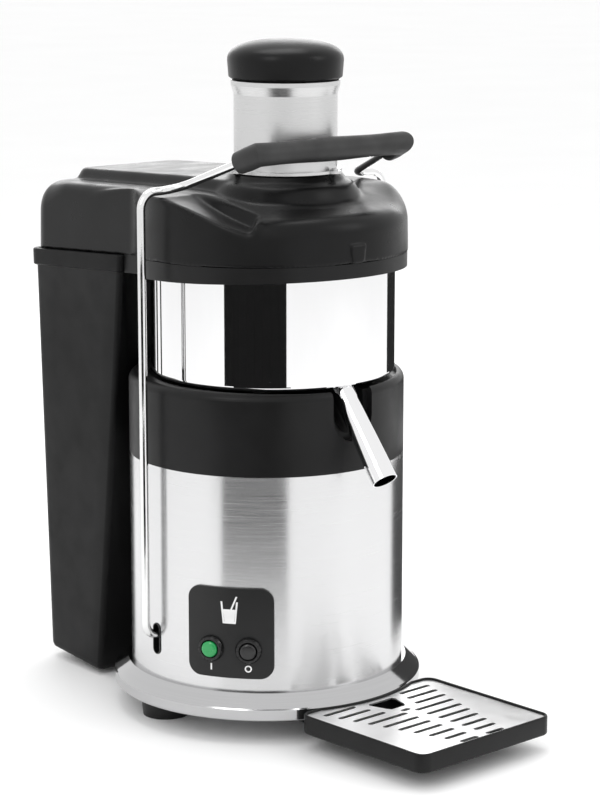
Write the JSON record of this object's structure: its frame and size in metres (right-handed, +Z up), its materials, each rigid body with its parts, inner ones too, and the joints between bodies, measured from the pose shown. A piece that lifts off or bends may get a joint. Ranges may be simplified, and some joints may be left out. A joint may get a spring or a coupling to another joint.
{
  "type": "centrifugal juicer",
  "caption": "Upright centrifugal juicer with round steel body, polished bowl and spout, black hooded lid, feed chute with pusher, hinged bail, rear pulp bin and separate drip tray.",
  "frame": {"origin": "on the counter under the axis of the round base", "axes": "+Z up; -Y is the front, where the spout and tray are; +Y is the back, where the pulp bin hangs; +X is the user's right facing the back"},
  "size_m": [0.286, 0.5346, 0.617],
  "materials": {
    "flange_metal": "polished cast aluminium",
    "brushed_sleeve": "stainless steel brushed round the body",
    "mirror_bowl": "mirror polished stainless steel",
    "satin_steel": "satin stainless steel",
    "rod_steel": "bright drawn stainless rod",
    "black_shell": "fine-grained black moulding",
    "black_bin": "fine-grained black moulding",
    "black_gloss": "smooth black moulding",
    "grip_rubber": "soft black grip",
    "foot_rubber": "black rubber",
    "panel_black": "black control plate",
    "panel_print": "white raised symbols",
    "start_green": "green cap",
    "stop_black": "black cap",
    "grey_metal": "grey paint",
    "cast_grey": "as-cast aluminium",
    "zinc": "zinc plated",
    "laminations": "laminated steel",
    "copper": "enamelled copper windings",
    "board_green": "circuit board",
    "ivory_plastic": "ivory moulding",
    "seal_rubber": "grey seal rubber",
    "red_plastic": "red moulding"
  },
  "bodies": {
    "base": {"base_plate": "flange_metal", "air_grille": "black_gloss", "feet": "foot_rubber", "foot_screws": "zinc", "bin_rails": "zinc", "tray_clips": "black_shell", "body_sleeve": "brushed_sleeve", "slot_liners": "black_gloss", "top_housing": "black_shell", "motor_plate": "cast_grey", "rubber_mounts": "foot_rubber", "mount_screws": "zinc", "motor_frame": "grey_metal", "stator_core": "laminations", "stator_windings": "copper", "upper_end_shield": "cast_grey", "lower_end_shield": "cast_grey", "upper_bearing": "zinc", "lower_bearing": "zinc", "run_capacitor": "grey_metal", "brake_board": "board_green", "terminal_block": "ivory_plastic", "interlock_switch": "red_plastic", "bail_brackets": "zinc", "guide_pins": "zinc", "cable_gland": "black_gloss", "control_panel": "panel_black", "panel_icons": "panel_print", "start_bezel": "black_gloss", "stop_bezel": "black_gloss", "contact_blocks": "ivory_plastic", "button_springs": "zinc", "shaft_seal": "seal_rubber", "bowl_rests": "seal_rubber", "juice_bowl": "mirror_bowl", "juice_spout": "mirror_bowl", "bowl_collar": "black_shell", "lid_gasket": "seal_rubber", "lid": "black_shell", "feed_chute": "satin_steel", "chute_ring": "satin_steel", "chute_screws": "zinc", "bail_springs": "zinc"},
    "bail_carrier": {"bail_yokes": "black_gloss"},
    "bail": {"bail_rod": "rod_steel", "bail_grip": "grip_rubber"},
    "spindle": {"motor_shaft": "zinc", "rotor_core": "laminations", "cooling_fan": "black_gloss", "drive_hub": "cast_grey", "filter_basket": "satin_steel", "grating_disc": "satin_steel", "lock_nut": "satin_steel"},
    "start_push": {"start_button": "start_green"},
    "stop_push": {"stop_button": "stop_black"},
    "pusher": {"pusher_cap": "black_shell", "pusher_body": "black_gloss"},
    "bin": {"pulp_bin": "black_bin"},
    "tray": {"drip_tray": "black_shell"},
    "grille": {"tray_grille": "satin_steel"}
  },
  "joints": [
    {"name": "bail_draw", "type": "slide", "parent": "base", "child": "bail_carrier", "axis": [0, 0, 1], "range_m": [0, 0.005], "stiffness_N_per_m": 4000, "springref_m": -0.012, "deforming": ["bail_springs"]},
    {"name": "bail_swing", "type": "hinge", "parent": "bail_carrier", "child": "bail", "pos_m": [0, 0, 0.084], "axis": [1, 0, 0], "range_deg": [0, 75]},
    {"name": "pusher_slide", "type": "slide", "parent": "base", "child": "pusher", "axis": [0, 0, 1], "range_m": [0, 0.22]},
    {"name": "start_press", "type": "slide", "parent": "base", "child": "start_push", "axis": [0.8729, 0.4879, 0], "range_m": [0, 0.003], "stiffness_N_per_m": 900, "springref_m": -0.004},
    {"name": "stop_press", "type": "slide", "parent": "base", "child": "stop_push", "axis": [0.7096, 0.7046, 0], "range_m": [0, 0.003], "stiffness_N_per_m": 900, "springref_m": -0.004},
    {"name": "spindle_spin", "type": "hinge", "parent": "base", "child": "spindle", "pos_m": [0, -0.0096, 0], "axis": [0, 0, 1], "continuous": true},
    {"name": "bin_slide", "type": "slide", "parent": "base", "child": "bin", "axis": [0, 0.9978, -0.0656], "range_m": [0, 0.065]},
    {"name": "tray_slide", "type": "slide", "parent": "base", "child": "tray", "axis": [0.0698, -0.9976, 0], "range_m": [0, 0.12]},
    {"name": "grille_lift", "type": "slide", "parent": "tray", "child": "grille", "axis": [0, 0, 1], "range_m": [0, 0.1]}
  ]
}
